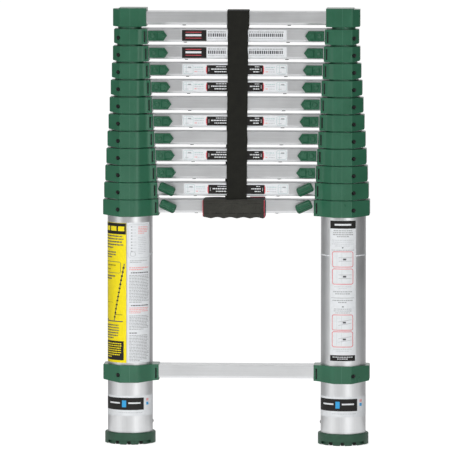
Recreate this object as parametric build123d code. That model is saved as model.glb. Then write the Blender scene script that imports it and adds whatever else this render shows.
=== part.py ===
"""Telescoping ladder, closed: twelve nested sections, each with two tubes, a rung and its end fittings.

Millimetres. X runs across the ladder, the front faces -Y and Z is up.
The origin is on the floor, midway between the two stiles.
Section 1 is the outer, standing one and section 12 the innermost.
"""
from build123d import *
import os

os.makedirs("parts", exist_ok=True)

# Layout
SECTIONS = 12
STILE_X = 196.0             # each stile's axis from the middle of the ladder
RUNG_SPACING = 304.8        # between rungs of the open ladder
STACK_PITCH = 31.35         # between rungs of the closed ladder
BOTTOM_RUNG_Z = 134.0       # middle of the fixed bottom rung

# Tubes
OUTER_TUBE_R = 41.4
TUBE_R_STEP = 2.0           # each section's tube is this much smaller in radius
TUBE_WALL = 1.4
TUBE_LENGTH = 400.0         # sections 2 to 12
TUBE_HEAD = 7.5             # tube end above its rung's middle

# Rungs
RUNG_DEPTH = 44.0
RUNG_HEIGHT = 24.0
RUNG_WALL = 1.6
RUNG_TOP_BEVEL = 0.7
RUNG_SKIRT = 4.2            # height of the sloping strip along the rung's lower edges
RUNG_SKIRT_IN = 3.0
TREAD_GROOVES = 5
TREAD_GROOVE_PITCH = 6.5
TREAD_GROOVE_WIDTH = 1.6
TREAD_GROOVE_DEPTH = 0.7

# Collars: plan sizes are from the tube's axis, outboard (away from the rung) and inboard
COLLAR_HEIGHT = 30.7        # section 1's head collar
COLLAR_HEIGHT_STEP = 0.21   # each higher head collar is this much lower
COLLAR_DROP = 2.8           # a collar's middle lies this far below its rung's middle
COLLAR_OUT = 7.05           # outboard end beyond the tube
COLLAR_IN = 12.5            # inboard end beyond the tube
COLLAR_FRONT = 4.5          # front face beyond the tube
COLLAR_FLAT = 16.5          # half length of the flat front face
COLLAR_NECK = 2.0           # start of the rung socket beyond the tube
COLLAR_OUT_DEPTH = 0.46     # half depth of the outboard end, as a share of the front's
COLLAR_END_CORNER = 1.2     # bevel of the outboard end's upper and lower corner
COLLAR_RISE_OUT = 2.4       # the lower edge climbs this much to the outboard end
COLLAR_RISE_IN = 1.0
SOCKET_WALL = 1.5
SOCKET_LENGTH = 11.4        # how far a rung's end reaches into its collar
CORNER_R = 2.5
SHOULDER_SHARE = 0.5        # radius of the inboard shoulders in plan, as a share of the tube's
EDGE_BEVEL = 0.6
GUIDE_GAP = 0.3             # round each sliding tube and end plug
GUIDE_RING_WALL = 2.0
GUIDE_RING_GAP = 0.4        # between a guide ring's top and the next collar
RECESS_R = 3.9              # round recess on the outboard facet, front and back
RECESS_X = 20.0
RECESS_Z = -2.0
RECESS_DEPTH = 4.0
WINDOW_FROM_END = 5.3       # narrow window by the rung socket
WINDOW_WIDTH = 2.8
WINDOW_HEIGHT = 20.0
WINDOW_DEPTH = 0.9

# The taller collars that clamp the fixed bottom rung
FOOT_COLLAR_HEIGHT = 32.2
FOOT_COLLAR_RISE_OUT = 4.1
FOOT_COLLAR_RISE_IN = 3.3

# Top caps, from the top rung's middle
CAP_UP = 18.2
CAP_DOWN = 15.9
CAP_OUT = 10.9
CAP_RISE = 0.6
CAP_STEP = 1.8
CAP_STEP_X = 19.0

# Locking pins and thumb releases, measured inboard from the collar's end
PIN_R = 3.5
PIN_GAP = 0.1
PIN_TIP_GAP = 0.3
RELEASE_TRAVEL = 8.0
PADDLE_SECTIONS = 2         # sections 1 and 2 have paddles, the others flat latches
SLIDER_GAP = 0.4            # between a release and the face of its rung
STEM_START = 10.0
STEM_LENGTH = 12.0
STEM_HEIGHT = 7.0
CARRIAGE_START = 8.0
CARRIAGE_LENGTH = 16.0
CARRIAGE_DEPTH = 28.0
CARRIAGE_HEIGHT = 11.4
SLOT_CLEARANCE = 0.5
LATCH_START = 0.8
LATCH_LENGTH = 35.0
LATCH_TIP = 6.6
LATCH_HEIGHT = 18.4
LATCH_DROP = 0.6
LATCH_THICK = 4.0
LATCH_DOME_X = 9.5
LATCH_DOME_R = 5.0
LATCH_DOME_RISE = 2.6
LATCH_RIDGE_START = 17.0
LATCH_RIDGE_INSET = 2.2
LATCH_RIDGE_TIP = 5.6
LATCH_RIDGE_RISE = 2.2
LATCH_RIDGE_BEVEL = 2.0
PADDLE_R = 8.8
PADDLE_LENGTH = 30.5
PADDLE_TILT = 24.5          # degrees, falling towards the middle of the ladder
PADDLE_MIDDLE_X = 17.5
PADDLE_MIDDLE_Z = 0.6
PADDLE_STAND_OFF = 7.0      # paddle's axis in front of the rung
PADDLE_END_R = 4.4
PADDLE_GROOVE_R = 2.8
PADDLE_GROOVE_ANGLE = 22.0  # degrees below the straight-ahead line

# Spring stops: a block inside the rung with a rivet head below it
STOP_FROM_END = 68.0
STOP_LENGTH = 9.0
STOP_DEPTH = 24.0
STOP_HEIGHT = 16.0
STOP_RIVET_R = 2.0
STOP_HEAD_R = 3.4
STOP_HEAD_RISE = 2.4

# End plugs at the foot of tubes 2 to 12
PLUG_SPIGOT = 10.0
PLUG_FLANGE = 3.0
PLUG_VENT_R = 2.0

# Feet: a cup with skirts at its sides, over a smaller sole of lugs joined by a middle web
FOOT_R = 46.6
FOOT_HEIGHT = 22.1
FOOT_FLOOR = 10.0
FOOT_RIM_BEVEL = 1.2
FOOT_SKIRT_Z = 1.5
FOOT_SKIRT_X = 39.0
FOOT_SPIGOT_TOP = 20.0
SOLE_R = 41.5
SOLE_HEIGHT = 7.8
SOLE_BEVEL = 1.6
SOLE_WEB_HALF = 7.0
LUG_PITCH = 21.5
LUG_GAP = 6.4
LUG_GAP_FLARE = 1.6
LUG_GAP_FLARE_Z = 2.6
LUG_GAP_HEIGHT = 6.6

# Strap and grip
STRAP_WIDTH = 38.0
STRAP_THICK = 2.4
STRAP_GAP = 0.5
STRAP_FOLD_R = 1.9
STRAP_END_Z = 430.0
GRIP_WIDTH = 113.0
GRIP_THICK = 5.5
GRIP_STRAP_ROOM = 3.6       # space between the grip and the rung, front and back
GRIP_ABOVE = 1.5
GRIP_BELOW = 10.4
GRIP_TOP_CORNER_R = 1.4
GRIP_LOW_CORNER_R = 8.0
STRAP_SLOT_CLEARANCE = 0.6

# Cutting tools reach this far past the faces they cut, and joined pieces overlap by it
PAST = 1.0
BEYOND = 100.0              # larger than anything a cutting block has to cover


def tube_r(section):
    """Outer radius of a section's tubes."""
    return OUTER_TUBE_R - TUBE_R_STEP * (section - 1)


def rung_z(section):
    """Height of a section's head rung, closed."""
    return BOTTOM_RUNG_Z + RUNG_SPACING + STACK_PITCH * (section - 1)


def tube_bottom(section):
    """Lower end of a section's tubes, closed."""
    if section == 1:
        return FOOT_FLOOR
    return rung_z(section) + TUBE_HEAD - TUBE_LENGTH


def collar_end(section):
    """Distance of a collar's inboard end from the middle of the ladder."""
    return STILE_X - tube_r(section) - COLLAR_IN


def upright(radius, low, high):
    """Vertical cylinder on the stile's axis."""
    return Pos(0, 0, (low + high) / 2) * Cylinder(radius, high - low)


def block(x_range, y_range, z_range):
    """Box between three pairs of limits."""
    size = [b - a for a, b in (x_range, y_range, z_range)]
    middle = [(a + b) / 2 for a, b in (x_range, y_range, z_range)]
    return Pos(*middle) * Box(*size)


def cross_bar(radius, low, high, z):
    """Cylinder along X through the stile's axis."""
    return Pos((low + high) / 2, 0, z) * Rot(0, 90, 0) * Cylinder(radius, high - low)


def both_sides(left_solid):
    """The left-hand piece and its mirror image."""
    return [left_solid, mirror(left_solid, about=Plane.YZ)]


def on_left_stile(solid):
    """Moves a piece made about a stile's axis, inboard towards +X, to the left stile."""
    return Pos(-STILE_X, 0, 0) * solid


def tube(section):
    """One stile tube, with its pin hole near the head and its lock hole near the foot."""
    radius = tube_r(section)
    low = tube_bottom(section)
    high = rung_z(section) + TUBE_HEAD
    body = upright(radius, low, high) - upright(radius - TUBE_WALL, low, high)
    hole_r = PIN_R + PIN_GAP
    if section < SECTIONS:
        body -= cross_bar(hole_r, 0, radius + PAST, rung_z(section))
    if section > 1:
        body -= cross_bar(hole_r, 0, radius + PAST, rung_z(section) - RUNG_SPACING)
    return on_left_stile(body)


def collar_plan(radius, out):
    """Outline of a collar from above: flat front and back, sloping facets, narrower rung socket."""
    front = radius + COLLAR_FRONT
    socket = RUNG_DEPTH / 2 + SOCKET_WALL
    half = [
        (-out, front * COLLAR_OUT_DEPTH),
        (-COLLAR_FLAT, front),
        (COLLAR_FLAT, front),
        (radius + COLLAR_NECK, socket),
        (radius + COLLAR_IN, socket),
    ]
    outline = half + [(x, -y) for x, y in reversed(half)]
    face = make_face(Polyline(*outline, close=True))
    shoulders = face.vertices().filter_by_position(Axis.X, 0, radius + COLLAR_NECK + PAST)
    face = fillet(shoulders, radius * SHOULDER_SHARE)
    outer_corners = face.vertices().filter_by_position(Axis.X, -BEYOND, 0)
    inner_corners = face.vertices().group_by(Axis.X)[-1]
    return fillet(outer_corners + inner_corners, CORNER_R)


def collar_side(radius, out, low, high, rise_out, rise_in):
    """Outline of a collar from the front; its lower edge climbs to both ends."""
    inner = radius + COLLAR_IN
    outline = [
        (-out, low + rise_out + COLLAR_END_CORNER),
        (-out + COLLAR_END_CORNER, low + rise_out),
        (-COLLAR_FLAT, low),
        (COLLAR_FLAT, low),
        (inner, low + rise_in),
        (inner, high),
        (-out + COLLAR_END_CORNER, high),
        (-out, high - COLLAR_END_CORNER),
    ]
    return make_face(Plane.XZ * Polyline(*outline, close=True))


def collar_blank(radius, out, low, high, rise_out, rise_in):
    """Solid collar before it is bored."""
    plan = extrude(Pos(0, 0, low) * collar_plan(radius, out), high - low)
    plan = chamfer(plan.faces().sort_by(Axis.Z)[-1].edges(), EDGE_BEVEL)
    plan = chamfer(plan.faces().sort_by(Axis.Z)[0].edges(), EDGE_BEVEL)
    side = extrude(collar_side(radius, out, low, high, rise_out, rise_in), BEYOND, both=True)
    return plan & side


def rung_socket(radius, low, high):
    """Space for the rung's end."""
    inner = radius + COLLAR_IN
    return block((inner - SOCKET_LENGTH, inner + PAST), (-RUNG_DEPTH / 2, RUNG_DEPTH / 2), (low, high))


def collar_marks(radius, middle):
    """Round recesses on the outboard facets and narrow windows by the socket, front and back."""
    front = radius + COLLAR_FRONT
    end_depth = front * COLLAR_OUT_DEPTH
    share = (RECESS_X - COLLAR_FLAT) / (radius + COLLAR_OUT - COLLAR_FLAT)
    facet = front + (end_depth - front) * share
    socket = RUNG_DEPTH / 2 + SOCKET_WALL
    window_x = radius + COLLAR_IN - WINDOW_FROM_END
    marks = []
    for side in (-1, 1):
        drill = Rot(90, 0, 0) * Cylinder(RECESS_R, 2 * RECESS_DEPTH)
        marks.append(Pos(-RECESS_X, side * facet, middle + RECESS_Z) * drill)
        slot = Box(WINDOW_WIDTH, 2 * WINDOW_DEPTH, WINDOW_HEIGHT)
        marks.append(Pos(window_x, side * socket, middle) * slot)
    return marks


def collar_low(section):
    """Lower face of a head collar, or of the top caps."""
    if section == SECTIONS:
        return rung_z(section) - CAP_DOWN
    height = COLLAR_HEIGHT - COLLAR_HEIGHT_STEP * (section - 1)
    return rung_z(section) - COLLAR_DROP - height / 2


def head_collar(section):
    """Collar at the head of a section: holds its tube, guides the next one and carries the rung."""
    radius = tube_r(section)
    middle = rung_z(section) - COLLAR_DROP
    low = collar_low(section)
    high = 2 * middle - low
    mouth = tube_r(section + 1) + GUIDE_GAP
    ring_top = collar_low(section + 1) - GUIDE_RING_GAP
    body = collar_blank(radius, radius + COLLAR_OUT, low, high, COLLAR_RISE_OUT, COLLAR_RISE_IN)
    body += upright(mouth + GUIDE_RING_WALL, high - PAST, ring_top)
    body -= upright(radius, low - PAST, rung_z(section) + TUBE_HEAD)
    body -= upright(mouth, low, ring_top + PAST)
    body -= rung_socket(radius, rung_z(section) - RUNG_HEIGHT / 2, high + PAST)
    body -= cross_bar(PIN_R + PIN_GAP, 0, radius + COLLAR_IN, rung_z(section))
    for mark in collar_marks(radius, middle):
        body -= mark
    return on_left_stile(body)


def foot_collar():
    """Collar that clamps the fixed bottom rung to the outer tube."""
    radius = tube_r(1)
    middle = BOTTOM_RUNG_Z - COLLAR_DROP
    low = middle - FOOT_COLLAR_HEIGHT / 2
    high = middle + FOOT_COLLAR_HEIGHT / 2
    body = collar_blank(radius, radius + COLLAR_OUT, low, high, FOOT_COLLAR_RISE_OUT, FOOT_COLLAR_RISE_IN)
    body -= upright(radius, low - PAST, high + PAST)
    body -= rung_socket(radius, BOTTOM_RUNG_Z - RUNG_HEIGHT / 2, BOTTOM_RUNG_Z + RUNG_HEIGHT / 2)
    for mark in collar_marks(radius, middle):
        body -= mark
    return on_left_stile(body)


def top_cap():
    """Closed cap on the innermost tube, with a lower step at its outboard end."""
    radius = tube_r(SECTIONS)
    middle = rung_z(SECTIONS)
    low = collar_low(SECTIONS)
    high = middle + CAP_UP
    body = collar_blank(radius, radius + CAP_OUT, low, high, CAP_RISE, CAP_RISE)
    body -= block((-BEYOND, -CAP_STEP_X), (-BEYOND, BEYOND), (high - CAP_STEP, high + PAST))
    body -= upright(radius, low - PAST, middle + TUBE_HEAD)
    body -= rung_socket(radius, middle - RUNG_HEIGHT / 2, middle + RUNG_HEIGHT / 2)
    return on_left_stile(body)


def end_plug(section):
    """Plug in the foot of a sliding tube; its flange runs in the tube outside."""
    low = tube_bottom(section)
    flange_r = tube_r(section - 1) - TUBE_WALL - GUIDE_GAP
    body = upright(tube_r(section) - TUBE_WALL, low, low + PLUG_SPIGOT)
    body += upright(flange_r, low - PLUG_FLANGE, low)
    body -= upright(PLUG_VENT_R, low - PLUG_FLANGE - PAST, low + PLUG_SPIGOT + PAST)
    return on_left_stile(body)


def spring_stop(section):
    """Block inside the rung that backs the pin's spring, with its rivet head under the rung."""
    x = -collar_end(section) + STOP_FROM_END
    floor = rung_z(section) - RUNG_HEIGHT / 2
    inside = floor + RUNG_WALL
    body = block((x - STOP_LENGTH / 2, x + STOP_LENGTH / 2), (-STOP_DEPTH / 2, STOP_DEPTH / 2),
                 (inside, inside + STOP_HEIGHT))
    body += Pos(x, 0, 0) * upright(STOP_RIVET_R, floor - PAST, inside + PAST)
    body += Pos(x, 0, 0) * upright(STOP_HEAD_R, floor - STOP_HEAD_RISE, floor)
    return body


def rung_outline():
    """Outer shape of a rung's section, in its own Y and Z, with a grooved tread."""
    half_depth = RUNG_DEPTH / 2
    half_height = RUNG_HEIGHT / 2
    skirt = -half_height + RUNG_SKIRT
    points = [
        (-half_depth + RUNG_SKIRT_IN, -half_height),
        (-half_depth, skirt),
        (-half_depth, half_height - RUNG_TOP_BEVEL),
        (-half_depth + RUNG_TOP_BEVEL, half_height),
    ]
    for index in range(TREAD_GROOVES):
        y = (index - (TREAD_GROOVES - 1) / 2) * TREAD_GROOVE_PITCH
        points.append((y - TREAD_GROOVE_WIDTH / 2, half_height))
        points.append((y, half_height - TREAD_GROOVE_DEPTH))
        points.append((y + TREAD_GROOVE_WIDTH / 2, half_height))
    points += [
        (half_depth - RUNG_TOP_BEVEL, half_height),
        (half_depth, half_height - RUNG_TOP_BEVEL),
        (half_depth, skirt),
        (half_depth - RUNG_SKIRT_IN, -half_height),
    ]
    return points


def rung_bar(half_length, z):
    """Hollow rung, centred on the ladder."""
    plane = Plane(origin=(-half_length, 0, z), x_dir=(0, 1, 0), z_dir=(1, 0, 0))
    outer = extrude(plane * make_face(Polyline(*rung_outline(), close=True)), 2 * half_length)
    hollow_depth = RUNG_DEPTH - 2 * RUNG_WALL - 2 * RUNG_SKIRT_IN
    hollow = plane * Rectangle(hollow_depth, RUNG_HEIGHT - 2 * RUNG_WALL)
    wide = plane * Pos(0, RUNG_SKIRT / 2, 0) * Rectangle(
        RUNG_DEPTH - 2 * RUNG_WALL, RUNG_HEIGHT - 2 * RUNG_WALL - RUNG_SKIRT)
    return outer - extrude(hollow, 2 * half_length) - extrude(wide, 2 * half_length)


def release_slot(section):
    """Slot in the front of the left end of a rung for the release's stem."""
    start = -collar_end(section) + STEM_START - SLOT_CLEARANCE
    end = start + STEM_LENGTH + RELEASE_TRAVEL + 2 * SLOT_CLEARANCE
    half = STEM_HEIGHT / 2 + SLOT_CLEARANCE
    z = rung_z(section)
    front = -RUNG_DEPTH / 2
    return block((start, end), (front - PAST, front + RUNG_WALL + PAST), (z - half, z + half))


def rivet_hole(section):
    """Hole under the left end of a rung for the spring stop's rivet."""
    floor = rung_z(section) - RUNG_HEIGHT / 2
    x = -collar_end(section) + STOP_FROM_END
    return Pos(x, 0, 0) * upright(STOP_RIVET_R, floor - PAST, floor + RUNG_WALL + PAST)


def head_rung(section):
    """Rung at the head of a section, slotted for its releases and drilled for its spring stops."""
    half_length = collar_end(section) + SOCKET_LENGTH
    bar = rung_bar(half_length, rung_z(section))
    cuts = both_sides(rivet_hole(section))
    if section < SECTIONS:
        cuts += both_sides(release_slot(section))
    for cut in cuts:
        bar -= cut
    return bar


def bottom_rung():
    """Fixed rung near the foot of the outer section."""
    return rung_bar(collar_end(1) + SOCKET_LENGTH, BOTTOM_RUNG_Z)


def latch_outline(start, end, tip, half_height):
    """Five-sided outline that points inboard, in X and Z."""
    return [
        (start, -half_height),
        (end - tip, -half_height),
        (end, 0),
        (end - tip, half_height),
        (start, half_height),
    ]


def latch_face():
    """Flat thumb latch in front of the rung: a pointed plate with a dome and a raised arrow."""
    end = LATCH_START + LATCH_LENGTH
    half = LATCH_HEIGHT / 2
    back = -RUNG_DEPTH / 2 - SLIDER_GAP
    front = back - LATCH_THICK
    plate = make_face(Plane.XZ * Polyline(*latch_outline(LATCH_START, end, LATCH_TIP, half), close=True))
    body = Pos(0, back, 0) * extrude(plate, LATCH_THICK)
    body = chamfer(body.faces().sort_by(Axis.Y)[0].edges(), EDGE_BEVEL)
    ball_r = (LATCH_DOME_R ** 2 + LATCH_DOME_RISE ** 2) / (2 * LATCH_DOME_RISE)
    ball = Pos(LATCH_DOME_X, front - LATCH_DOME_RISE + ball_r, 0) * Sphere(ball_r)
    dome = ball & block((0, 2 * LATCH_DOME_X), (front - LATCH_DOME_RISE - PAST, front + PAST), (-half, half))
    arrow = latch_outline(
        LATCH_RIDGE_START, end - LATCH_RIDGE_INSET, LATCH_RIDGE_TIP, half - LATCH_RIDGE_INSET)
    ridge = Pos(0, front + PAST, 0) * extrude(
        make_face(Plane.XZ * Polyline(*arrow, close=True)), LATCH_RIDGE_RISE + PAST)
    ridge = chamfer(ridge.faces().sort_by(Axis.Y)[0].edges(), LATCH_RIDGE_BEVEL)
    return Pos(0, 0, -LATCH_DROP) * (body + dome + ridge)


def paddle_face():
    """Slanted thumb paddle in front of the rung: a barrel with a groove along its lower side."""
    axis_y = -RUNG_DEPTH / 2 - PADDLE_STAND_OFF
    barrel = Cylinder(PADDLE_R, PADDLE_LENGTH)
    barrel = fillet(barrel.edges().filter_by(GeomType.CIRCLE), PADDLE_END_R)
    groove = Rot(0, 0, PADDLE_GROOVE_ANGLE) * Pos(0, -PADDLE_R, 0) * Cylinder(PADDLE_GROOVE_R, PADDLE_LENGTH)
    place = Pos(PADDLE_MIDDLE_X, axis_y, PADDLE_MIDDLE_Z) * Rot(0, 90 + PADDLE_TILT, 0)
    behind = block((-BEYOND, BEYOND), (-RUNG_DEPTH / 2 - SLIDER_GAP, 0), (-BEYOND, BEYOND))
    return place * (barrel - groove) - behind


def release(section):
    """Left-hand release: thumb piece, stem and carriage in one moulding, and its locking pin."""
    place = Pos(-collar_end(section), 0, rung_z(section))
    face = paddle_face() if section <= PADDLE_SECTIONS else latch_face()
    inside = -RUNG_DEPTH / 2 + RUNG_WALL + SLIDER_GAP
    stem = block((STEM_START, STEM_START + STEM_LENGTH), (-RUNG_DEPTH / 2 - SLIDER_GAP - PAST, inside + PAST),
                 (-STEM_HEIGHT / 2, STEM_HEIGHT / 2))
    carriage_end = CARRIAGE_START + CARRIAGE_LENGTH
    carriage = block((CARRIAGE_START, carriage_end), (inside, inside + CARRIAGE_DEPTH),
                     (-CARRIAGE_HEIGHT / 2, CARRIAGE_HEIGHT / 2))
    tip = -COLLAR_IN - TUBE_R_STEP + PIN_TIP_GAP
    pin = cross_bar(PIN_R, tip, carriage_end, 0)
    return [place * (face + stem + carriage - pin), place * pin]


def lug_gap(x, side):
    """Gap between two lugs, flared at the floor, from the sole's edge to its middle web."""
    half = LUG_GAP / 2
    flared = half + LUG_GAP_FLARE
    outline = [
        (x - flared, -PAST),
        (x - flared, 0),
        (x - half, LUG_GAP_FLARE_Z),
        (x - half, LUG_GAP_HEIGHT),
        (x + half, LUG_GAP_HEIGHT),
        (x + half, LUG_GAP_FLARE_Z),
        (x + flared, 0),
        (x + flared, -PAST),
    ]
    profile = make_face(Plane.XZ * Polyline(*outline, close=True))
    length = SOLE_R - SOLE_WEB_HALF
    start = -SOLE_WEB_HALF if side < 0 else SOLE_R
    return Pos(0, start, 0) * extrude(profile, length, dir=(0, -1, 0))


def sole():
    """Round sole with four rounded lugs at the front and at the back."""
    body = upright(SOLE_R, 0, SOLE_HEIGHT)
    body = chamfer(body.faces().sort_by(Axis.Z)[0].edges(), SOLE_BEVEL)
    for index in (-1, 0, 1):
        for side in (-1, 1):
            body -= lug_gap(index * LUG_PITCH, side)
    return body


def foot():
    """Foot: a cup round the outer tube's end, with a spigot inside it and the lugged sole below."""
    body = upright(FOOT_R, FOOT_SKIRT_Z, FOOT_HEIGHT)
    body = chamfer(body.faces().sort_by(Axis.Z)[-1].edges(), FOOT_RIM_BEVEL)
    body -= block((-FOOT_SKIRT_X, FOOT_SKIRT_X), (-BEYOND, BEYOND), (0, SOLE_HEIGHT))
    body += sole()
    body -= upright(OUTER_TUBE_R, FOOT_FLOOR, FOOT_HEIGHT + PAST)
    body += upright(OUTER_TUBE_R - TUBE_WALL, FOOT_FLOOR - PAST, FOOT_SPIGOT_TOP)
    return on_left_stile(body)


def across(outline_yz, width):
    """Solid of a Y and Z outline, drawn out along X on both sides of the middle."""
    plane = Plane(origin=(-width / 2, 0, 0), x_dir=(0, 1, 0), z_dir=(1, 0, 0))
    return extrude(plane * outline_yz, width)


def strap():
    """Webbing folded over the top rung, with both tails hanging down into the grip."""
    half = RUNG_DEPTH / 2 + STRAP_GAP
    top = rung_z(SECTIONS) + RUNG_HEIGHT / 2
    height = top - STRAP_END_Z
    inside = Pos(0, STRAP_END_Z + height / 2) * Rectangle(2 * half, height)
    outside = Pos(0, STRAP_END_Z + (height + STRAP_THICK) / 2) * Rectangle(
        2 * (half + STRAP_THICK), height + STRAP_THICK)
    outside = fillet(outside.vertices().group_by(Axis.Y)[-1], STRAP_FOLD_R)
    return across(outside - inside, STRAP_WIDTH)


def grip():
    """Soft grip round section 1's head rung; the strap's tails go down inside it, front and back."""
    inner_half = RUNG_DEPTH / 2 + GRIP_STRAP_ROOM
    outer_half = inner_half + GRIP_THICK
    low = rung_z(1) - RUNG_HEIGHT / 2
    high = rung_z(1) + RUNG_HEIGHT / 2
    inside = Pos(0, (low + high) / 2) * Rectangle(2 * inner_half, high - low)
    outer_low = low - GRIP_BELOW
    outer_high = high + GRIP_ABOVE
    outside = Pos(0, (outer_low + outer_high) / 2) * Rectangle(2 * outer_half, outer_high - outer_low)
    outside = fillet(outside.vertices().group_by(Axis.Y)[-1], GRIP_TOP_CORNER_R)
    outside = fillet(outside.vertices().group_by(Axis.Y)[0], GRIP_LOW_CORNER_R)
    body = across(outside - inside, GRIP_WIDTH)
    slot_half = STRAP_WIDTH / 2 + STRAP_SLOT_CLEARANCE
    for near, far in ((-inner_half, -RUNG_DEPTH / 2), (RUNG_DEPTH / 2, inner_half)):
        body -= block((-slot_half, slot_half), (near, far), (high - PAST, outer_high + PAST))
    return body


def write(name, solids):
    """Writes one node."""
    flat = []
    for solid in solids:
        flat += solid.solids()
    export_step(Compound(children=flat), f"parts/{name}.step")


for number in range(1, SECTIONS + 1):
    tubes = both_sides(tube(number))
    if number < SECTIONS:
        write(f"stiles_{number:02d}", tubes)
        fittings = both_sides(head_collar(number))
    else:
        write("top_frame", tubes + [head_rung(number)])
        fittings = both_sides(top_cap())
    fittings += both_sides(spring_stop(number))
    if number == 1:
        fittings += both_sides(foot_collar())
        write("base_rungs", [bottom_rung(), head_rung(1)])
    else:
        fittings += both_sides(end_plug(number))
    if 1 < number < SECTIONS:
        write(f"rung_{number:02d}", [head_rung(number)])
    if number < SECTIONS:
        write(f"collar_fittings_{number:02d}", fittings)
        pieces = release(number)
        write(f"release_left_{number:02d}", pieces)
        write(f"release_right_{number:02d}", [mirror(piece, about=Plane.YZ) for piece in pieces])
    else:
        write("top_caps", fittings)
write("feet", both_sides(foot()))
write("strap", [strap()])
write("grip", [grip()])
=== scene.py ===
"""Looks of the closed telescoping ladder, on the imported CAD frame.

The frame is in metres: X across the ladder, the front faces -Y, Z up. The small graphics and soft
goods are laid out in millimetres and scaled when their meshes are made.
"""
import math
import random

import bmesh
import bpy
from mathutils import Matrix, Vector, noise


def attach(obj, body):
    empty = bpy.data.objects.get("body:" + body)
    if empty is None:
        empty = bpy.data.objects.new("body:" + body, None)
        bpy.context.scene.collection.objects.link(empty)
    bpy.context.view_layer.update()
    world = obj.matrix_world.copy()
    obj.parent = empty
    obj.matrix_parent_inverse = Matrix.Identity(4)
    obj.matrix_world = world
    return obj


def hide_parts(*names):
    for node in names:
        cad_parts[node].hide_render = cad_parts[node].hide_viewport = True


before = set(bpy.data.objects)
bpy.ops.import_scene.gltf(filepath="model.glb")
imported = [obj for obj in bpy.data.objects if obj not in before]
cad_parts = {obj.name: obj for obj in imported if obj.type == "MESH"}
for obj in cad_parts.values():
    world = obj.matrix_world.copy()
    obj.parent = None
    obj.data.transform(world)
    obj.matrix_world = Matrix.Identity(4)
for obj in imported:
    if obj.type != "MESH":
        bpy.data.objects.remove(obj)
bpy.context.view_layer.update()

MM = 0.001
SECTIONS = 12
STILE_X = 196.0
TUBE_R = 41.4
TUBE_R_STEP = 2.0
RUNG_FRONT = 22.0
RUNG_HALF_HEIGHT = 12.0
RUNG_SKIRT = 4.2
RUNG_SKIRT_IN = 3.0
BASE_RUNG_Z = 438.8
STACK_PITCH = 31.35
COLLAR_DROP = 2.8
BOTTOM_RUNG_Z = 134.0
SOLE_R = 41.5
SOLE_HEIGHT = 7.8


def tube_r(section):
    return TUBE_R - TUBE_R_STEP * (section - 1)


def rung_z(section):
    return BASE_RUNG_Z + STACK_PITCH * (section - 1)


def body_name(section):
    return f"section_{section:02d}"


# ---------------------------------------------------------------- shader helpers

def new_material(name, roughness, metallic=0.0):
    material = bpy.data.materials.new(name)
    material.use_nodes = True
    tree = material.node_tree
    shader = tree.nodes["Principled BSDF"]
    shader.inputs["Roughness"].default_value = roughness
    shader.inputs["Metallic"].default_value = metallic
    return material, tree, shader


def coordinates(tree, scale=(1, 1, 1), kind="Object"):
    source = tree.nodes.new("ShaderNodeTexCoord")
    mapping = tree.nodes.new("ShaderNodeMapping")
    mapping.inputs["Scale"].default_value = scale
    tree.links.new(source.outputs[kind], mapping.inputs["Vector"])
    return mapping.outputs["Vector"]


def noise_value(tree, vector, scale, detail=3.0, rough=0.55):
    texture = tree.nodes.new("ShaderNodeTexNoise")
    texture.inputs["Scale"].default_value = scale
    texture.inputs["Detail"].default_value = detail
    texture.inputs["Roughness"].default_value = rough
    tree.links.new(vector, texture.inputs["Vector"])
    return texture.outputs["Fac"]


def ramp(tree, value, stops):
    """Colour ramp: stops are (position, colour)."""
    node = tree.nodes.new("ShaderNodeValToRGB")
    elements = node.color_ramp.elements
    while len(elements) < len(stops):
        elements.new(0.5)
    for element, (position, colour) in zip(elements, stops):
        element.position = position
        element.color = (*colour, 1.0)
    tree.links.new(value, node.inputs["Fac"])
    return node.outputs["Color"]


NOISE_LOW, NOISE_HIGH = 0.25, 0.75


def spread(tree, value, low, high):
    """Maps a noise value to the range low to high."""
    node = tree.nodes.new("ShaderNodeMapRange")
    node.inputs["From Min"].default_value = NOISE_LOW
    node.inputs["From Max"].default_value = NOISE_HIGH
    node.inputs["To Min"].default_value = low
    node.inputs["To Max"].default_value = high
    tree.links.new(value, node.inputs["Value"])
    return node.outputs["Result"]


def math_node(tree, operation, first, second=0.0):
    node = tree.nodes.new("ShaderNodeMath")
    node.operation = operation
    for socket, value in zip(node.inputs, (first, second)):
        if isinstance(value, (int, float)):
            socket.default_value = value
        else:
            tree.links.new(value, socket)
    return node.outputs["Value"]


def split_axes(tree, vector):
    node = tree.nodes.new("ShaderNodeSeparateXYZ")
    tree.links.new(vector, node.inputs["Vector"])
    return node.outputs["X"], node.outputs["Y"], node.outputs["Z"]


def mix_colour(tree, factor, first, second, blend="MIX"):
    node = tree.nodes.new("ShaderNodeMix")
    node.data_type = "RGBA"
    node.blend_type = blend
    for name, value in (("Factor_Float", factor), ("A_Color", first), ("B_Color", second)):
        socket = next(s for s in node.inputs if s.identifier == name)
        if isinstance(value, (int, float)):
            socket.default_value = value
        elif isinstance(value, tuple):
            socket.default_value = (*value, 1.0)
        else:
            tree.links.new(value, socket)
    return next(s for s in node.outputs if s.identifier == "Result_Color")


def bump(tree, shader, height, strength, distance, before=None):
    node = tree.nodes.new("ShaderNodeBump")
    node.inputs["Strength"].default_value = strength
    node.inputs["Distance"].default_value = distance
    tree.links.new(height, node.inputs["Height"])
    if before is not None:
        tree.links.new(before, node.inputs["Normal"])
    tree.links.new(node.outputs["Normal"], shader.inputs["Normal"])
    return node.outputs["Normal"]


def grey(value, warmth=0.0):
    return (value * (1 + warmth), value, value * (1 - warmth))


# ---------------------------------------------------------------- materials

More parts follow.
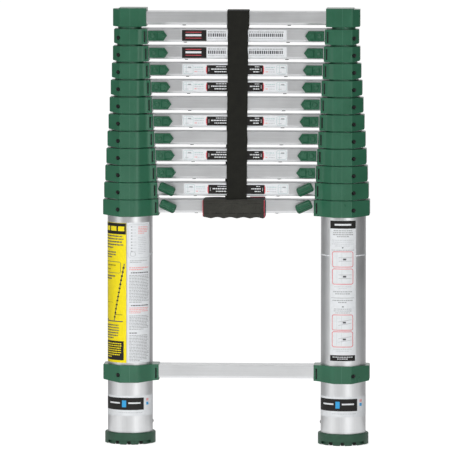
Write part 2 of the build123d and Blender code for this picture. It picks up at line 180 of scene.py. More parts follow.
def aluminium(name, stretch, bright, roughness):
    """Satin drawn aluminium: fine streaks along the extrusion and faint handling marks."""
    material, tree, shader = new_material(name, roughness, 1.0)
    streaks = noise_value(tree, coordinates(tree, stretch), 1.0, 4.0, 0.6)
    marks = noise_value(tree, coordinates(tree), 14.0, 5.0, 0.6)
    stops = ((0.3, grey(bright * 0.93, -0.012)), (0.7, grey(bright * 1.02, -0.012)))
    colour = ramp(tree, streaks, stops)
    soiled = ramp(tree, marks, ((0.35, grey(0.94)), (0.6, grey(1.0))))
    tree.links.new(mix_colour(tree, 1.0, colour, soiled, "MULTIPLY"), shader.inputs["Base Color"])
    streak_rough = spread(tree, streaks, -0.03, 0.03)
    mark_rough = spread(tree, marks, roughness - 0.03, roughness + 0.05)
    tree.links.new(math_node(tree, "ADD", streak_rough, mark_rough), shader.inputs["Roughness"])
    bump(tree, shader, streaks, 0.25, 0.00005)
    return material


MOULD_LINE_X = STILE_X - 1.5
MOULD_LINE_HALF_WIDTH = 0.35
RIVETS_WITHIN_X = 120.0     # the spring stops' rivet heads, in the collars' nodes, lie nearer the middle
RIVET_COLOUR = (0.16, 0.165, 0.165)


def green_plastic():
    """Glossy moulded nylon with a fine spark texture, scuffs and a faint mould line whose lighter tint is a
    painted highlight.
    """
    material, tree, shader = new_material("moulded_green", 0.36)
    plain = coordinates(tree)
    cloud = noise_value(tree, plain, 22.0, 4.0)
    colour = ramp(tree, cloud, ((0.3, (0.012, 0.101, 0.050)), (0.7, (0.016, 0.122, 0.063))))
    scuffs = noise_value(tree, coordinates(tree, (90, 90, 700)), 1.0, 6.0, 0.7)
    scuff_mask = ramp(tree, scuffs, ((0.66, grey(0.0)), (0.74, grey(0.35))))
    colour = mix_colour(tree, scuff_mask, colour, (0.045, 0.150, 0.092))
    across = math_node(tree, "ABSOLUTE", split_axes(tree, plain)[0])
    # Mould line: the bump is the real ridge, and its lighter tint is a painted highlight.
    offset = math_node(tree, "ABSOLUTE", math_node(tree, "SUBTRACT", across, MOULD_LINE_X * MM))
    line = math_node(tree, "LESS_THAN", offset, MOULD_LINE_HALF_WIDTH * MM)
    colour = mix_colour(tree, math_node(tree, "MULTIPLY", line, 0.4), colour, (0.10, 0.25, 0.17))
    rivet = math_node(tree, "LESS_THAN", across, RIVETS_WITHIN_X * MM)
    colour = mix_colour(tree, rivet, colour, RIVET_COLOUR)
    tree.links.new(colour, shader.inputs["Base Color"])
    tree.links.new(spread(tree, cloud, 0.26, 0.36), shader.inputs["Roughness"])
    texture = noise_value(tree, plain, 1500.0, 2.0)
    before = bump(tree, shader, texture, 0.18, 0.0001)
    bump(tree, shader, line, 0.5, 0.0002, before)
    shader.inputs["Specular IOR Level"].default_value = 0.55
    return material


def thumb_plastic():
    """The same nylon on the sliding releases, rubbed a little brighter by thumbs."""
    material, tree, shader = new_material("moulded_green_release", 0.32)
    plain = coordinates(tree)
    cloud = noise_value(tree, plain, 60.0, 4.0)
    colour = ramp(tree, cloud, ((0.3, (0.014, 0.092, 0.047)), (0.7, (0.020, 0.114, 0.060))))
    tree.links.new(colour, shader.inputs["Base Color"])
    tree.links.new(spread(tree, cloud, 0.20, 0.30), shader.inputs["Roughness"])
    bump(tree, shader, noise_value(tree, plain, 1500.0, 2.0), 0.15, 0.0001)
    return material


def rubber(name, dark, light, roughness):
    """Matt rubber with a mottled bloom and a pebbled surface."""
    material, tree, shader = new_material(name, roughness)
    plain = coordinates(tree)
    cloud = noise_value(tree, plain, 45.0, 5.0)
    tree.links.new(ramp(tree, cloud, ((0.3, dark), (0.72, light))), shader.inputs["Base Color"])
    tree.links.new(spread(tree, cloud, roughness - 0.06, roughness + 0.06), shader.inputs["Roughness"])
    bump(tree, shader, noise_value(tree, plain, 900.0, 3.0), 0.3, 0.00015)
    return material


# Painted shade: the sole goes near black inside its edge, where shade falls between and under the lugs.
SOLE_SHADE_COLOUR = (0.004, 0.006, 0.005)
SOLE_SHADE_EDGE_R = SOLE_R - 0.8


def foot_rubber():
    """The feet's rubber, with painted shade inside the sole's edge, so between its lugs and underneath."""
    material = rubber("green_rubber_sole", (0.011, 0.055, 0.029), (0.018, 0.078, 0.043), 0.5)
    tree = material.node_tree
    base = tree.nodes["Principled BSDF"].inputs["Base Color"]
    x, y, z = split_axes(tree, coordinates(tree))
    x = math_node(tree, "SUBTRACT", math_node(tree, "ABSOLUTE", x), STILE_X * MM)
    square = math_node(tree, "ADD", math_node(tree, "MULTIPLY", x, x), math_node(tree, "MULTIPLY", y, y))
    inside = math_node(tree, "LESS_THAN", math_node(tree, "SQRT", square), SOLE_SHADE_EDGE_R * MM)
    below = math_node(tree, "LESS_THAN", z, SOLE_HEIGHT * MM)
    unshaded = base.links[0].from_socket
    # painted shade inside the sole's edge, below the tops of its lugs
    shaded = mix_colour(tree, math_node(tree, "MULTIPLY", inside, below), unshaded, SOLE_SHADE_COLOUR)
    tree.links.new(shaded, base)
    return material


def webbing():
    """Black polyester webbing: ribs along its length crossed by a slanting weave, in its own UV metres."""
    material, tree, shader = new_material("webbing_weave", 0.78)
    uv = coordinates(tree, kind="UV")
    heights = []
    for turn, scale in ((0.0, 190.0), (0.9, 260.0), (-0.9, 260.0)):
        mapping = tree.nodes.new("ShaderNodeMapping")
        mapping.inputs["Rotation"].default_value = (0, 0, turn)
        tree.links.new(uv, mapping.inputs["Vector"])
        wave = tree.nodes.new("ShaderNodeTexWave")
        wave.inputs["Scale"].default_value = scale
        wave.inputs["Distortion"].default_value = 0.5
        wave.inputs["Detail"].default_value = 1.0
        tree.links.new(mapping.outputs["Vector"], wave.inputs["Vector"])
        heights.append(wave.outputs["Fac"])
    weave = math_node(tree, "ADD", heights[0], math_node(tree, "MULTIPLY", heights[1], heights[2]))
    fibre = noise_value(tree, uv, 1300.0, 3.0, 0.7)
    fuzz = noise_value(tree, uv, 70.0, 4.0, 0.6)
    colour = ramp(tree, math_node(tree, "MULTIPLY", weave, fibre),
                  ((0.1, (0.004, 0.004, 0.003)), (0.9, (0.016, 0.016, 0.010))))
    dusty = ramp(tree, fuzz, ((0.35, grey(0.8)), (0.7, grey(1.25))))
    tree.links.new(mix_colour(tree, 1.0, colour, dusty, "MULTIPLY"), shader.inputs["Base Color"])
    bump(tree, shader, weave, 0.7, 0.0004)
    shader.inputs["Sheen Weight"].default_value = 0.08
    shader.inputs["Sheen Roughness"].default_value = 0.5
    shader.inputs["Specular IOR Level"].default_value = 0.3
    return material


def grip_cloth():
    """Dark grey rubberised cloth with a tight knit."""
    material, tree, shader = new_material("grip_cloth", 0.8)
    plain = coordinates(tree)
    knit = tree.nodes.new("ShaderNodeTexVoronoi")
    knit.inputs["Scale"].default_value = 900.0
    tree.links.new(plain, knit.inputs["Vector"])
    cloud = noise_value(tree, plain, 55.0, 5.0, 0.65)
    grain = noise_value(tree, plain, 600.0, 3.0, 0.7)
    value = math_node(
        tree, "ADD", math_node(tree, "MULTIPLY", cloud, 0.55), math_node(tree, "MULTIPLY", grain, 0.45))
    colour = ramp(tree, value, ((0.36, (0.020, 0.020, 0.016)), (0.64, (0.040, 0.039, 0.032))))
    tree.links.new(colour, shader.inputs["Base Color"])
    before = bump(tree, shader, knit.outputs["Distance"], 0.5, 0.0003)
    bump(tree, shader, grain, 0.4, 0.0003, before)
    shader.inputs["Sheen Weight"].default_value = 0.12
    shader.inputs["Sheen Roughness"].default_value = 0.5
    shader.inputs["Specular IOR Level"].default_value = 0.3
    return material


def vinyl(name, colour, roughness=0.42):
    """Printed vinyl with slightly uneven ink."""
    material, tree, shader = new_material(f"vinyl_{name}", roughness)
    cloud = noise_value(tree, coordinates(tree), 160.0, 4.0)
    low = tuple(c * 0.92 for c in colour)
    tree.links.new(ramp(tree, cloud, ((0.3, low), (0.7, colour))), shader.inputs["Base Color"])
    tree.links.new(spread(tree, cloud, roughness - 0.04, roughness + 0.05), shader.inputs["Roughness"])
    shader.inputs["Specular IOR Level"].default_value = 0.2
    return material


def steel(name, bright):
    """Plated rivet heads; made near black, it also serves as painted shade in the collars."""
    material, tree, shader = new_material(name, 0.35, 1.0)
    cloud = noise_value(tree, coordinates(tree), 400.0, 3.0)
    stops = ((0.3, grey(bright * 0.8)), (0.7, grey(bright * 1.2)))
    tree.links.new(ramp(tree, cloud, stops), shader.inputs["Base Color"])
    return material


def piping():
    """Red woven binding of the grip."""
    material, tree, shader = new_material("red_binding", 0.7)
    weave = noise_value(tree, coordinates(tree), 1100.0, 2.0)
    colour = ramp(tree, weave, ((0.35, (0.60, 0.045, 0.075)), (0.65, (0.80, 0.11, 0.16))))
    tree.links.new(colour, shader.inputs["Base Color"])
    bump(tree, shader, weave, 0.4, 0.0002)
    return material


TUBE_METAL = aluminium("drawn_aluminium_tube", (1100, 1100, 9), 0.83, 0.35)
RUNG_METAL = aluminium("drawn_aluminium_rung", (9, 900, 900), 0.83, 0.40)
GREEN = green_plastic()
THUMB_GREEN = thumb_plastic()
FOOT_RUBBER = foot_rubber()
# Near-black rubber for the painted shade between the soles' lugs.
TREAD_SHADE = rubber("tread_shade", (0.003, 0.004, 0.003), (0.009, 0.010, 0.008), 0.8)
WEBBING = webbing()
GRIP_CLOTH = grip_cloth()
STEEL = steel("plated_steel", 0.42)
# Near-black steel: painted shade in the collars' recesses and windows.
RECESS_SHADE_STEEL = steel("recess_shade_steel", 0.05)
PIPING = piping()
INKS = {
    "white": vinyl("white", (0.77, 0.79, 0.81)),
    "black": vinyl("black", (0.016, 0.015, 0.014)),
    "grey": vinyl("grey", (0.36, 0.37, 0.38)),
    "pale": vinyl("pale", (0.56, 0.58, 0.60)),
    "dark": vinyl("dark", (0.10, 0.10, 0.11)),
    "red": vinyl("red", (0.74, 0.10, 0.12)),
    "pink": vinyl("pink", (0.80, 0.38, 0.38)),
    "teal": vinyl("teal", (0.47, 0.60, 0.60)),
    "yellow": vinyl("yellow", (0.93, 0.76, 0.006)),
    "olive": vinyl("olive", (0.32, 0.26, 0.015)),
    "blue": vinyl("blue", (0.04, 0.36, 0.72)),
}


def dress_cad_nodes():
    """Gives every carried-over CAD node its material."""
    for name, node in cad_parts.items():
        if name.startswith("stiles"):
            material = TUBE_METAL
        elif name.startswith(("rung", "base_rungs", "top_frame")):
            material = RUNG_METAL
        elif name.startswith("release"):
            material = THUMB_GREEN
        elif name == "feet":
            material = FOOT_RUBBER
        else:
            material = GREEN
        for slot in node.material_slots:
            slot.material = material


# ---------------------------------------------------------------- mesh helpers

def finish_mesh(name, mesh, body, materials, smooth=False):
    """Turns a bmesh into a piece that rides on a body."""
    bmesh.ops.recalc_face_normals(mesh, faces=mesh.faces)
    data = bpy.data.meshes.new(name)
    mesh.to_mesh(data)
    mesh.free()
    for material in materials:
        data.materials.append(material)
    if smooth:
        data.polygons.foreach_set("use_smooth", [True] * len(data.polygons))
    piece = bpy.data.objects.new(name, data)
    bpy.context.scene.collection.objects.link(piece)
    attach(piece, body)
    return piece


def ring_faces(mesh, rows, closed):
    """Joins successive rings of vertices."""
    count = len(rows)
    for index in range(count if closed else count - 1):
        near, far = rows[index], rows[(index + 1) % count]
        for k in range(len(near)):
            after = (k + 1) % len(near)
            mesh.faces.new((near[k], near[after], far[after], far[k]))


def lathe(mesh, profile, place, steps):
    """Revolves (radius, height) points; place turns local (x, y, height) into a position."""
    rows = []
    for radius, height in profile:
        row = []
        for k in range(steps):
            angle = math.tau * k / steps
            row.append(mesh.verts.new(place(radius * math.cos(angle), radius * math.sin(angle), height)))
        rows.append(row)
    ring_faces(mesh, rows, False)
    for row in (rows[0], rows[-1]):
        mesh.faces.new(row)


def slab(mesh, low, high):
    """Upright box between two corners."""
    rows = []
    for z in (low[2], high[2]):
        corners = ((low[0], low[1], z), (high[0], low[1], z), (high[0], high[1], z), (low[0], high[1], z))
        rows.append([mesh.verts.new(Vector(corner) * MM) for corner in corners])
    ring_faces(mesh, rows, False)
    for row in rows:
        mesh.faces.new(row)


# ---------------------------------------------------------------- flat graphics

LABEL_THICK = 0.16
INK_THICK = 0.07
CURVE_STEP = 3.0


class Graphic:
    """Thin closed strips laid on a surface. Positions are (u, v) in millimetres on that surface."""

    def __init__(self, surface, seed):
        self.surface = surface
        self.mesh = bmesh.new()
        self.inks = []
        self.random = random.Random(seed)

    def ribbon(self, points, width, ink, low=LABEL_THICK - 0.03, high=LABEL_THICK + INK_THICK, closed=False):
        if ink not in self.inks:
            self.inks.append(ink)
        points = [Vector(p) for p in points]
        last = len(points) - 1
        rows = []
        for index, point in enumerate(points):
            before = points[index - 1] if index or closed else point
            after = points[(index + 1) % len(points)] if index < last or closed else point
            along = (after - before).normalized()
            side = Vector((-along.y, along.x)) * width / 2
            corners = ((point + side, low), (point - side, low), (point - side, high), (point + side, high))
            rows.append([self.mesh.verts.new(self.surface(q.x, q.y, lift)) for q, lift in corners])
        start = len(self.mesh.faces)
        ring_faces(self.mesh, rows, closed)
        if not closed:
            self.mesh.faces.new(rows[0])
            self.mesh.faces.new(rows[-1])
        self.mesh.faces.ensure_lookup_table()
        for face in self.mesh.faces[start:]:
            face.material_index = self.inks.index(ink)

    def line(self, start, end, width, ink, **lifts):
        steps = max(1, math.ceil((Vector(end) - Vector(start)).length / CURVE_STEP))
        points = [Vector(start).lerp(Vector(end), k / steps) for k in range(steps + 1)]
        self.ribbon(points, width, ink, **lifts)

    def block(self, u0, u1, v0, v1, ink, **lifts):
        middle = (v0 + v1) / 2
        self.line((u0, middle), (u1, middle), v1 - v0, ink, **lifts)

    def panel(self, u0, u1, v0, v1, ink):
        self.block(u0, u1, v0, v1, ink, low=0.03, high=LABEL_THICK)

    def on_block(self, u0, u1, v0, v1, ink):
        """A block printed over another printed block."""
        self.block(u0, u1, v0, v1, ink, low=LABEL_THICK, high=LABEL_THICK + 2 * INK_THICK)

    def box(self, u0, u1, v0, v1, radius, width, ink):
        """Outline of a rounded box."""
        points = []
        corners = ((u1 - radius, v1 - radius, 0), (u0 + radius, v1 - radius, 90),
                   (u0 + radius, v0 + radius, 180), (u1 - radius, v0 + radius, 270))
        for index, (u, v, turn) in enumerate(corners):
            for step in range(4):
                angle = math.radians(turn + 30 * step)
                points.append((u + radius * math.cos(angle), v + radius * math.sin(angle)))
            following = corners[(index + 1) % 4]
            angle = math.radians(turn + 90)
            end = Vector(points[-1])
            start = Vector((following[0] + radius * math.cos(angle), following[1] + radius * math.sin(angle)))
            steps = math.ceil((start - end).length / CURVE_STEP)
            points += [tuple(end.lerp(start, k / steps)) for k in range(1, steps)]
        self.ribbon(points, width, ink, closed=True)

    def words(self, u0, u1, v, height, ink, share=1.0, centred=False, over=False, longest=5.2, gap=0.8):
        """A row of plain bars that stands in for a line of print."""
        room = (u1 - u0) * share
        start = (u0 + u1 - room) / 2 if centred else u0
        end = start + room
        while start < end - 0.6:
            length = min(self.random.uniform(1.6, longest), end - start)
            draw = self.on_block if over else self.block
            draw(start, start + length, v - height / 2, v + height / 2, ink)
            start += length + gap

    def paragraph(self, u0, u1, top, bottom, pitch, height, ink, centred=False, over=False):
        """Rows of bars from top down to bottom, the last one short."""
        count = int((top - bottom) / pitch)
        for row in range(count):
            share = self.random.uniform(0.86, 1.0) if row < count - 1 else self.random.uniform(0.4, 0.7)
            self.words(u0, u1, top - pitch * (row + 0.5), height, ink, share, centred, over)

    def finish(self, name, body):
        return finish_mesh(name, self.mesh, body, [INKS[ink] for ink in self.inks])


def on_tube(side):
    """Front of an outer tube: u is the arc from the front towards +X, v the height."""
    def place(u, v, lift):
        angle = u / TUBE_R
        reach = TUBE_R + lift
        return Vector((side * STILE_X + reach * math.sin(angle), -reach * math.cos(angle), v)) * MM
    return place


SKIRT_TOP = RUNG_SKIRT - RUNG_HALF_HEIGHT


def on_rung(section, shift=0.0):
    """Front of a rung, folding in along its skirt: u is X, shifted, and v the height above its middle."""
    def place(u, v, lift):
        fold = max(0.0, SKIRT_TOP - v) * RUNG_SKIRT_IN / RUNG_SKIRT
        return Vector((u + shift, fold - RUNG_FRONT - lift, rung_z(section) + v)) * MM
    return place


def yellow_label():
    """Plain yellow sticker on the left stile, with a dark header, bars and a leaning line."""
    label = Graphic(on_tube(-1), 11)
    left, right, top, bottom = -64.0, -4.4, 409.0, 151.5
    label.panel(left, right, bottom, top, "yellow")
    label.block(left + 0.6, right - 0.6, top - 21.0, top - 0.6, "black")
    for start, end in ((-60.0, -42.0), (-38.5, -24.0), (-20.5, -8.0)):
        label.on_block(start, end, top - 15.0, top - 6.5, "yellow")
    label.paragraph(-60, -8, 387.0, 360.4, 5.3, 2.4, "dark")
    label.paragraph(-60, -22, 357.0, 343.0, 4.6, 2.2, "dark")
    label.box(-58, -15.5, 316.5, 337.0, 3.0, 0.9, "dark")
    label.paragraph(-52, -22, 334.0, 319.0, 7.0, 2.4, "olive")
    label.paragraph(-60, -24, 313.0, 299.0, 4.8, 2.6, "dark")
    foot, head = Vector((-30.0, 227.9)), Vector((-8.0, 334.0))
    label.line(foot, head, 1.7, "dark")
    for rung in range(1, 14):
        middle = foot.lerp(head, rung / 14)
        label.on_block(middle.x - 2.0, middle.x + 2.0, middle.y - 1.3, middle.y + 1.3, "black")
    label.line((-58, 227.4), (-11, 227.4), 1.9, "dark")
    label.block(-58, -50, 228.6, 231.0, "dark")
    label.line((-54, 226.0), (-54, 288.0), 0.7, "olive")
    label.line((-54, 262.0), (-33, 262.0), 0.7, "olive")
    label.words(-28, -12, 240.0, 1.6, "olive")
    label.paragraph(-60, -14, 222.5, 193.5, 4.7, 2.1, "dark")
    label.block(-57, -9.5, 156.0, 191.2, "black")
    label.paragraph(-54, -12, 188.5, 158.5, 4.1, 1.9, "yellow", over=True)
    label.finish("sticker_yellow", body_name(1))


def white_label():
    """Plain white sticker beside the yellow one, with bars in grey and pink."""
    label = Graphic(on_tube(-1), 12)
    left, right, top, bottom = -2.6, 45.0, 410.0, 151.5
    label.panel(left, right, bottom, top, "white")
    label.box(left + 2.5, right - 2.5, 345.0, 406.0, 3.0, 0.6, "pale")
    for row in range(9):
        v = 402.0 - row * 5.6
        label.block(4.0, 7.0, v - 0.9, v + 0.9, "grey")
        label.block(8.4, 14.0, v - 0.4, v + 0.4, "pale")
    label.box(3.2, 12.6, 348.0, 356.0, 3.2, 0.6, "grey")
    label.paragraph(18, 40, 403.0, 388.5, 2.9, 1.5, "pink")
    label.paragraph(18, 36, 384.0, 348.0, 3.3, 1.1, "pale")
    label.paragraph(2, 41, 341.0, 333.0, 2.8, 1.1, "grey")
    label.paragraph(1, 42, 328.5, 321.5, 3.4, 2.0, "pink")
    label.words(4, 40, 317.5, 1.9, "dark")
    label.paragraph(1, 42, 314.0, 261.5, 2.75, 1.25, "grey")
    label.words(4, 40, 257.2, 1.8, "dark")
    label.paragraph(1, 42, 254.2, 242.0, 3.0, 1.5, "pink")
    label.paragraph(1, 42, 239.5, 210.0, 2.75, 1.25, "grey")
    label.words(1, 15, 206.5, 1.7, "dark")
    label.paragraph(1, 42, 203.5, 154.0, 2.75, 1.25, "grey")
    label.finish("sticker_white", body_name(1))


def plain_diagram(label, left, right, low, high, slope):
    """Boxed line drawing of a tube and a rung, nothing more."""
    label.box(left, right, low, high, 3.2, 1.1, "red")
    tube_u = left + 9.0
    for u in (tube_u, tube_u + 9.0):
        label.line((u, low + 2), (u, high - 2), 0.5, "pale")
    middle = (low + high) / 2
    for shift in (-3.2, 3.2):
        label.line((tube_u + 3, middle + shift - slope), (right - 2.5, middle + shift + slope), 0.6, "grey")
    label.block(tube_u + 11, tube_u + 17, middle - 1.6, middle + 1.6, "dark")


def right_label():
    """Plain white sticker on the right stile: dark ends, centred bars and four boxed diagrams."""
    label = Graphic(on_tube(1), 13)
    left, right, top, bottom = -24.6, 25.6, 415.5, 156.0
    label.panel(left, right, bottom, top, "white")
    label.block(left + 0.5, right - 0.5, top - 15.0, top - 0.5, "black")
    label.on_block(-15.0, 16.0, top - 9.4, top - 6.2, "white")
    label.paragraph(-19, 20, 398.5, 383.0, 3.6, 1.7, "grey", centred=True)
    label.paragraph(-21, 21, 381.0, 366.0, 3.5, 1.1, "pale", centred=True)
    label.block(-1.4, 1.6, 364.5, 366.5, "dark")
    label.words(-21, 22, 361.0, 1.0, "grey")
    plain_diagram(label, -19.4, 19.4, 330.1, 358.1, 0.0)
    plain_diagram(label, -19.4, 19.4, 298.5, 326.5, 0.0)
    label.paragraph(-17, 18, 295.5, 288.5, 3.4, 1.1, "pale", centred=True)
    label.paragraph(-20, 20, 286.5, 275.5, 3.8, 1.7, "grey", centred=True)
    label.line((-22, 273.1), (22, 273.1), 0.9, "grey")
    label.paragraph(-20, 20, 270.5, 261.0, 3.7, 1.7, "grey", centred=True)
    label.block(-0.8, 2.0, 256.0, 258.0, "dark")
    label.paragraph(-19, 19, 254.5, 244.0, 3.5, 1.2, "grey", centred=True)
    plain_diagram(label, -19.6, 19.2, 214.0, 242.0, 2.0)
    plain_diagram(label, -19.6, 19.2, 183.0, 211.0, 2.0)
    label.paragraph(-20, 20, 180.5, 170.5, 3.4, 1.1, "pale", centred=True)
    label.block(left + 0.5, right - 1.5, 157.0, 167.7, "black")
    label.paragraph(-20, 20, 166.0, 158.5, 3.4, 1.4, "white", centred=True, over=True)
    label.finish("sticker_right", body_name(1))


RUNG_LABEL = (-99.6, 92.6, -10.6, 10.4)


def rung_block(label, u0, u1, v0, v1, ink, layer="block"):
    """A block that folds in at the top of the rung's skirt."""
    draw = getattr(label, layer)
    draw(u0, u1, max(v0, SKIRT_TOP), v1, ink)
    if v0 < SKIRT_TOP:
        draw(u0, u1, v0, SKIRT_TOP, ink)


def caution_rung_label(section, seed):
    """Rung sticker with a dark block and rows of bars."""
    left, right, low, high = RUNG_LABEL
    label = Graphic(on_rung(section), seed)
    rung_block(label, left, right, low, high, "white", "panel")
    rung_block(label, left + 0.4, left + 45.4, low + 0.4, high - 0.4, "black")
    label.on_block(left + 7, left + 36, -1.4, 2.4, "white")
    label.on_block(left + 7, left + 36, -5.4, -4.4, "red")
    label.on_block(left + 7, left + 36, 5.4, 6.4, "red")
    for start, end in ((-51.5, -19.0), (24.0, 87.0)):
        label.words(start, end, 6.6, 2.0, "grey")
        label.words(start, end, 0.8, 6.0, "dark", longest=3.2, gap=1.2)
        label.words(start, end, -5.4, 1.5, "pale")
    label.finish(f"rung_sticker_{section:02d}", body_name(section))


LABEL_SHIFT = 1.3
SECOND_LABEL_SHIFT = 4.0


def plain_rung_label(section, seed, shift):
    """Rung sticker with a dark bar, red ends and pale boxed sketches."""
    left, right, low, high = RUNG_LABEL
    label = Graphic(on_rung(section, shift), seed)
    rung_block(label, left, right, low, high, "white", "panel")
    rung_block(label, -54.6, 48.0, -8.4, 8.4, "black")
    for side, u in ((-1, -54.6), (1, 48.0)):
        for out, half in ((0.5, 7.4), (1.4, 4.6)):
            label.block(u + side * out - 0.5, u + side * out + 0.5, -half, half, "red")
        label.on_block(u - side * 3.4 - 0.3, u - side * 3.4 + 0.3, -3.0, 3.2, "white")
    for start, end in ((-47.0, -19.0), (24.0, 41.0)):
        label.words(start + 9, end, 5.6, 1.2, "white", over=True)
        label.words(start, end, 1.2, 2.0, "white", over=True)
        label.words(start + 6, end, -3.6, 1.7, "white", over=True)
    for start, end in ((-97.6, -80.0), (73.0, 90.6)):
        label.box(start, end, -7.3, 8.6, 2.4, 0.7, "teal")
        label.line((start + 5, -6.4), (start + 5, 7.8), 0.6, "teal")
        label.line((start + 1, 4.0), (end - 1, 2.8), 0.6, "teal")
        label.block(start + 8, start + 14, 3.2, 5.4, "grey")
        label.block(start + 3, start + 9, -4.8, -3.4, "pale")
    for start, end in ((-77.5, -60.5), (52.5, 69.5)):
        label.words(start, end, 4.4, 1.6, "teal")
        label.words(start, end, 0.8, 1.3, "pale")
        label.words(start, start + 5, -3.6, 1.6, "pink")
        label.words(start + 6, end, -3.8, 1.3, "pale")
    label.finish(f"rung_sticker_{section:02d}", body_name(section))


FOOT_BAND_TURN = -2.0


def foot_band(side, turn, name):
    """White wrap near the foot of an outer tube, with a dark strip and a small blue block."""
    label = Graphic(on_tube(side), 40 + side)
    half_turn = math.pi * TUBE_R
    steps = 72
    ring = [(half_turn * (2 * k / steps - 1), 72.2) for k in range(steps)]
    label.ribbon(ring, 37.5, "white", low=0.03, high=LABEL_THICK, closed=True)
    label.block(turn - 66, turn + 31, 64.4, 86.9, "black")
    label.on_block(turn - 11.0, turn - 3.0, 69.5, 82.0, "blue")
    label.on_block(turn + 1.0, turn + 24.0, 75.8, 78.6, "white")
    label.on_block(turn - 40.0, turn - 15.0, 75.8, 78.6, "white")
    label.words(turn - 18, turn + 28, 59.5, 1.2, "pale")
    label.block(turn + 37.0, turn + 43.0, 80.5, 85.0, "pink")
    label.block(turn + 37.0, turn + 43.0, 73.0, 78.5, "blue")
    label.finish(name, body_name(1))


# ---------------------------------------------------------------- small hardware

RECESS_X = 20.0
RECESS_DROP = 2.0
RECESS_FLOOR = 3.9
RECESS_PLUG_PROFILE = ((3.5, -0.4), (3.5, 1.4), (3.2, 2.0), (1.8, 2.2), (1.4, 2.1), (1.2, 1.0), (0.1, 1.0))
RECESS_PLUG_STEPS = 20
WINDOW_FROM_TUBE = 7.2
WINDOW_Y = 23.5
STRIP_HALF_WIDTH = 1.2
STRIP_HALF_HEIGHT = 9.6
STRIP_BACK = 0.95           # the strip's back and front, below the socket's face
STRIP_FRONT = 0.3
COLLAR_OUT = 7.05
COLLAR_FRONT = 4.5
COLLAR_FLAT = 16.5
COLLAR_OUT_DEPTH = 0.46


def collar_shade_pieces(section):
    """Dark screw-shaped plugs in the collars' recesses and dark strips in the narrow windows by the rung
    sockets, both painted shade.
    """
    mesh = bmesh.new()
    radius = tube_r(section)
    share = (RECESS_X - COLLAR_FLAT) / (radius + COLLAR_OUT - COLLAR_FLAT)
    facet = (radius + COLLAR_FRONT) * (1 - share * (1 - COLLAR_OUT_DEPTH))
    levels = [rung_z(section) - COLLAR_DROP - RECESS_DROP]
    if section == 1:
        levels.append(BOTTOM_RUNG_Z - COLLAR_DROP - RECESS_DROP)
    for level in levels:
        for side in (-1, 1):
            for face in (-1, 1):
                def place(x, y, height):
                    reach = face * (facet - RECESS_FLOOR + height)
                    return Vector((side * (STILE_X + RECESS_X) + x, reach, level + y)) * MM
                # painted shade: a dark screw-shaped plug fills each recess
                lathe(mesh, RECESS_PLUG_PROFILE, place, RECESS_PLUG_STEPS)
                # painted shade: a dark strip in each window
                x = side * (STILE_X - radius - WINDOW_FROM_TUBE)
                middle = level + RECESS_DROP
                low = (x - STRIP_HALF_WIDTH, face * (WINDOW_Y - STRIP_BACK), middle - STRIP_HALF_HEIGHT)
                high = (x + STRIP_HALF_WIDTH, face * (WINDOW_Y - STRIP_FRONT), middle + STRIP_HALF_HEIGHT)
                slab(mesh, low, high)
    finish_mesh(f"collar_shade_pieces_{section:02d}", mesh, body_name(section), [RECESS_SHADE_STEEL], True)


BEAD_Z = 350.3
BEAD_STEPS = 80
BEAD_PROFILE = ((-0.3, -1.2), (0.25, -1.1), (0.45, -0.5), (0.45, 0.5), (0.2, 1.1), (-0.3, 1.2))


def stile_beads():
    """Fine bead round each outer tube, stopped short of the stickers; its white colour is a painted highlight
    line along the bead.
    """
    mesh = bmesh.new()
    girth = math.tau * TUBE_R
    for side, start, end in ((-1, 46.5, girth - 65.5), (1, 26.5, girth - 26.0)):
        place = on_tube(side)
        rows = []
        for k in range(BEAD_STEPS + 1):
            u = start + (end - start) * k / BEAD_STEPS
            rows.append([mesh.verts.new(place(u, BEAD_Z + rise, lift)) for lift, rise in BEAD_PROFILE])
        ring_faces(mesh, rows, False)
        for row in (rows[0], rows[-1]):
            mesh.faces.new(row)
    # white on the bead: painted highlight
    finish_mesh("stile_beads", mesh, body_name(1), [INKS["white"]], True)


RIVET_Z = 40.3
RIVET_PROFILE = ((3.2, -1.2), (3.2, 0.4), (2.6, 1.1), (1.4, 1.6), (0.2, 1.75))


def stile_rivets():
    """Domed rivets on the inner side of each outer tube, near the foot."""
    mesh = bmesh.new()
    for side in (-1, 1):
        def place(x, y, height):
            return Vector((side * (STILE_X - TUBE_R - height), x, RIVET_Z + y)) * MM
        lathe(mesh, RIVET_PROFILE, place, 24)
    finish_mesh("stile_rivets", mesh, body_name(1), [STEEL], True)


LUG_PITCH = 21.5
# Blocks of painted shade filling the gaps between the lugs.
SHADE_HALF_WIDTH = 3.0
SHADE_R = 39.4
SHADE_FROM_MIDDLE = 8.0
SHADE_LOW, SHADE_HIGH = 0.4, 6.3


def tread_shade():
    """Near-black blocks between the lugs of both soles, as painted shade in the tread's gaps."""
    mesh = bmesh.new()
    for side in (-1, 1):
        for index in (-1, 0, 1):
            middle = index * LUG_PITCH
            reach = math.sqrt(SHADE_R ** 2 - (abs(middle) + SHADE_HALF_WIDTH) ** 2)
            x = side * STILE_X + middle
            for near, far in ((-reach, -SHADE_FROM_MIDDLE), (SHADE_FROM_MIDDLE, reach)):
                slab(mesh, (x - SHADE_HALF_WIDTH, near, SHADE_LOW), (x + SHADE_HALF_WIDTH, far, SHADE_HIGH))
    finish_mesh("tread_shade", mesh, body_name(1), [TREAD_SHADE])


# ---------------------------------------------------------------- strap and grip

STRAP_THICK = 1.8
STRAP_END_Z = 430.0
STRAP_CLEARANCE = 0.55
STRAP_BEND_R = 3.2
STRAP_OFFSET = RUNG_FRONT + STRAP_CLEARANCE + STRAP_THICK / 2
STRAP_STEPS = 72            # along each tail
BEND_STEPS = 6
FOLD_STEPS = 8              # across the top of the rung
FRONT_END_X, FRONT_TOP_X = 0.8, 3.8
BACK_END_X, BACK_TOP_X = -4.6, 2.6
STRAP_HALF_WIDTH = 18.6
STRAP_SPREAD = 1.7          # extra half width at the fold
STRAP_SPREAD_FROM = 0.93    # share of the tail's height
STRAP_FLAT_WIDTH = 38.0


